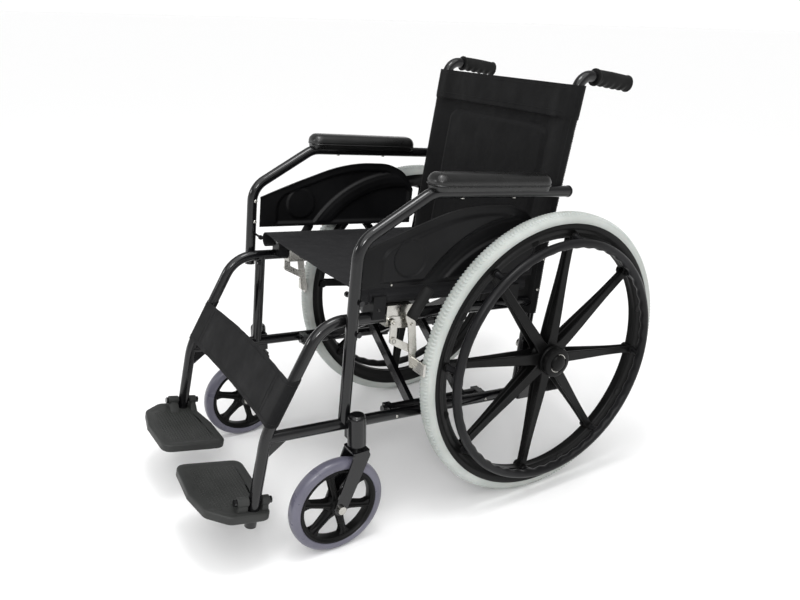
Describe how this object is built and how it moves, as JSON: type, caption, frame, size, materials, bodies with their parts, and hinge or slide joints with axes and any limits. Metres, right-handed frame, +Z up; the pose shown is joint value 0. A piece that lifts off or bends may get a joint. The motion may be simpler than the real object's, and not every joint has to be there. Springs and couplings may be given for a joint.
{
  "type": "manual wheelchair",
  "caption": "Folding self-propelled wheelchair with spoked moulded wheels, swivel casters, sling seat and back, padded armrests, calf strap and flip-up footplates.",
  "frame": {"origin": "on the floor under the middle of the chair", "axes": "+X to the occupant's left, +Y to the rear, +Z up"},
  "size_m": [0.629, 1.0259, 0.8718],
  "materials": {
    "frame_paint": "gloss black paint",
    "rear_tyre": "pale grey solid tyre",
    "caster_tyre": "grey polyurethane",
    "wheel_plastic": "satin black moulded wheel",
    "moulded_plastic": "black moulded plastic",
    "grip_rubber": "matt black",
    "upholstery": "black woven nylon",
    "arm_pad": "black skinned foam",
    "zinc": "zinc plated"
  },
  "bodies": {
    "left_frame": {"seat_tube_and_hanger_left": "frame_paint", "lower_tube_left": "frame_paint", "back_cane_and_axle_plate_left": "frame_paint", "front_post_and_caster_housing_left": "frame_paint", "armrest_tube_left": "frame_paint", "armrest_pad_left": "arm_pad", "side_guard_left": "moulded_plastic", "push_grip_left": "grip_rubber", "tipping_tip_left": "grip_rubber", "rear_axle_left": "zinc", "rail_saddles_left": "moulded_plastic", "brake_clamp_left": "zinc", "frame_fasteners_left": "frame_paint"},
    "right_frame": {"seat_tube_and_hanger_right": "frame_paint", "lower_tube_right": "frame_paint", "back_cane_and_axle_plate_right": "frame_paint", "front_post_and_caster_housing_right": "frame_paint", "armrest_tube_right": "frame_paint", "armrest_pad_right": "arm_pad", "side_guard_right": "moulded_plastic", "push_grip_right": "grip_rubber", "tipping_tip_right": "grip_rubber", "rear_axle_right": "zinc", "rail_saddles_right": "moulded_plastic", "brake_clamp_right": "zinc", "frame_fasteners_right": "frame_paint"},
    "brace_from_left": {"cross_brace_from_left": "frame_paint", "seat_rail_right": "frame_paint", "brace_pivot_bolts": "zinc"},
    "brace_from_right": {"cross_brace_from_right": "frame_paint", "seat_rail_left": "frame_paint"},
    "seat_left": {"seat_sling_left": "upholstery"},
    "back_left": {"back_sling_left": "upholstery"},
    "strap_left": {"calf_strap_left": "upholstery"},
    "footplate_left": {"footplate_left": "moulded_plastic"},
    "rear_wheel_left": {"rear_wheel_left": "wheel_plastic", "rear_tyre_left": "rear_tyre", "handrim_left": "wheel_plastic"},
    "caster_fork_left": {"caster_fork_left": "frame_paint", "caster_axle_left": "zinc"},
    "caster_wheel_left": {"caster_wheel_left": "wheel_plastic", "caster_tyre_left": "caster_tyre"},
    "brake_lever_left": {"brake_lever_left": "zinc"},
    "brake_shoe_left": {"brake_shoe_arm_left": "zinc"},
    "brake_link_left": {"brake_link_left": "zinc"},
    "seat_right": {"seat_sling_right": "upholstery"},
    "back_right": {"back_sling_right": "upholstery"},
    "strap_right": {"calf_strap_right": "upholstery"},
    "footplate_right": {"footplate_right": "moulded_plastic"},
    "rear_wheel_right": {"rear_wheel_right": "wheel_plastic", "rear_tyre_right": "rear_tyre", "handrim_right": "wheel_plastic"},
    "caster_fork_right": {"caster_fork_right": "frame_paint", "caster_axle_right": "zinc"},
    "caster_wheel_right": {"caster_wheel_right": "wheel_plastic", "caster_tyre_right": "caster_tyre"},
    "brake_lever_right": {"brake_lever_right": "zinc"},
    "brake_shoe_right": {"brake_shoe_arm_right": "zinc"},
    "brake_link_right": {"brake_link_right": "zinc"}
  },
  "joints": [
    {"name": "fold", "type": "hinge", "parent": "left_frame", "child": "brace_from_left", "pos_m": [0.193, -0.01747, 0.22593], "axis": [0, 0.9961, -0.0882], "range_deg": [0, 44]},
    {"name": "brace_crossing", "type": "hinge", "parent": "brace_from_left", "child": "brace_from_right", "pos_m": [0, 0.00385, 0.34194], "axis": [0, 0.9961, -0.0882], "range_deg": [-88, 0]},
    {"name": "right_foot", "type": "hinge", "parent": "brace_from_right", "child": "right_frame", "pos_m": [-0.193, -0.01747, 0.22593], "axis": [0, 0.9961, -0.0882], "range_deg": [0, 44]},
    {"name": "seat_left_lift", "type": "hinge", "parent": "brace_from_right", "child": "seat_left", "pos_m": [0.208, -0.01687, 0.47083], "axis": [0, 0.9961, -0.0882], "range_deg": [0, 130]},
    {"name": "back_left_gather", "type": "hinge", "parent": "left_frame", "child": "back_left", "pos_m": [0.217, 0.2369, 0.63459], "axis": [0, 0.1601, 0.9871], "range_deg": [-75, 0]},
    {"name": "strap_left_gather", "type": "hinge", "parent": "left_frame", "child": "strap_left", "pos_m": [0.217, -0.35727, 0.31838], "axis": [0, 0.5035, 0.864], "range_deg": [-69.7, 0]},
    {"name": "footplate_left_flip", "type": "hinge", "parent": "left_frame", "child": "footplate_left", "pos_m": [0.217, -0.41601, 0.13775], "axis": [0, 0.9773, -0.2117], "range_deg": [0, 88.2]},
    {"name": "rear_wheel_left_spin", "type": "hinge", "parent": "left_frame", "child": "rear_wheel_left", "pos_m": [0.266, 0.20765, 0.305], "axis": [1, 0, 0], "continuous": true},
    {"name": "caster_left_swivel", "type": "hinge", "parent": "left_frame", "child": "caster_fork_left", "pos_m": [0.243, -0.22235, 0.235], "axis": [0, 0, 1], "continuous": true},
    {"name": "caster_left_spin", "type": "hinge", "parent": "caster_fork_left", "child": "caster_wheel_left", "pos_m": [0.243, -0.26635, 0.0955], "axis": [1, 0, 0], "continuous": true},
    {"name": "brake_left_lever", "type": "hinge", "parent": "left_frame", "child": "brake_lever_left", "pos_m": [0.25, -0.11035, 0.43092], "axis": [1, 0, 0], "range_deg": [-20, 0]},
    {"name": "brake_left_shoe", "type": "hinge", "parent": "brake_lever_left", "child": "brake_shoe_left", "pos_m": [0.245, -0.10641, 0.37797], "axis": [1, 0, 0], "range_deg": [0, 15.2]},
    {"name": "brake_left_link", "type": "hinge", "parent": "left_frame", "child": "brake_link_left", "pos_m": [0.24, -0.14435, 0.43695], "axis": [1, 0, 0], "range_deg": [-28.8, 0]},
    {"name": "seat_right_lift", "type": "hinge", "parent": "brace_from_left", "child": "seat_right", "pos_m": [-0.208, -0.01687, 0.47083], "axis": [0, 0.9961, -0.0882], "range_deg": [-130, 0]},
    {"name": "back_right_gather", "type": "hinge", "parent": "right_frame", "child": "back_right", "pos_m": [-0.217, 0.2369, 0.63459], "axis": [0, 0.1601, 0.9871], "range_deg": [0, 75]},
    {"name": "strap_right_gather", "type": "hinge", "parent": "right_frame", "child": "strap_right", "pos_m": [-0.217, -0.35727, 0.31838], "axis": [0, 0.5035, 0.864], "range_deg": [0, 69.7]},
    {"name": "footplate_right_flip", "type": "hinge", "parent": "right_frame", "child": "footplate_right", "pos_m": [-0.217, -0.41601, 0.13775], "axis": [0, 0.9773, -0.2117], "range_deg": [-88.2, 0]},
    {"name": "rear_wheel_right_spin", "type": "hinge", "parent": "right_frame", "child": "rear_wheel_right", "pos_m": [-0.266, 0.20765, 0.305], "axis": [1, 0, 0], "continuous": true},
    {"name": "caster_right_swivel", "type": "hinge", "parent": "right_frame", "child": "caster_fork_right", "pos_m": [-0.243, -0.22235, 0.235], "axis": [0, 0, 1], "continuous": true},
    {"name": "caster_right_spin", "type": "hinge", "parent": "caster_fork_right", "child": "caster_wheel_right", "pos_m": [-0.243, -0.26635, 0.0955], "axis": [1, 0, 0], "continuous": true},
    {"name": "brake_right_lever", "type": "hinge", "parent": "right_frame", "child": "brake_lever_right", "pos_m": [-0.25, -0.11035, 0.43092], "axis": [1, 0, 0], "range_deg": [-20, 0]},
    {"name": "brake_right_shoe", "type": "hinge", "parent": "brake_lever_right", "child": "brake_shoe_right", "pos_m": [-0.245, -0.10641, 0.37797], "axis": [1, 0, 0], "range_deg": [0, 15.2]},
    {"name": "brake_right_link", "type": "hinge", "parent": "right_frame", "child": "brake_link_right", "pos_m": [-0.24, -0.14435, 0.43695], "axis": [1, 0, 0], "range_deg": [-28.8, 0]}
  ],
  "couplings": [
    {"joint": "brace_crossing", "follows": "fold", "ratio": -2},
    {"joint": "right_foot", "follows": "fold", "ratio": 1},
    {"joint": "seat_left_lift", "follows": "fold", "ratio": 2.95},
    {"joint": "back_left_gather", "follows": "fold", "ratio": -1.7},
    {"joint": "strap_left_gather", "follows": "fold", "ratio": -1.58},
    {"joint": "footplate_left_flip", "follows": "fold", "ratio": 2},
    {"joint": "brake_left_shoe", "follows": "brake_left_lever", "ratio": -0.755},
    {"joint": "brake_left_link", "follows": "brake_left_lever", "ratio": 1.435},
    {"joint": "seat_right_lift", "follows": "fold", "ratio": -2.95},
    {"joint": "back_right_gather", "follows": "fold", "ratio": 1.7},
    {"joint": "strap_right_gather", "follows": "fold", "ratio": 1.58},
    {"joint": "footplate_right_flip", "follows": "fold", "ratio": -2},
    {"joint": "brake_right_shoe", "follows": "brake_right_lever", "ratio": -0.755},
    {"joint": "brake_right_link", "follows": "brake_right_lever", "ratio": 1.435}
  ]
}
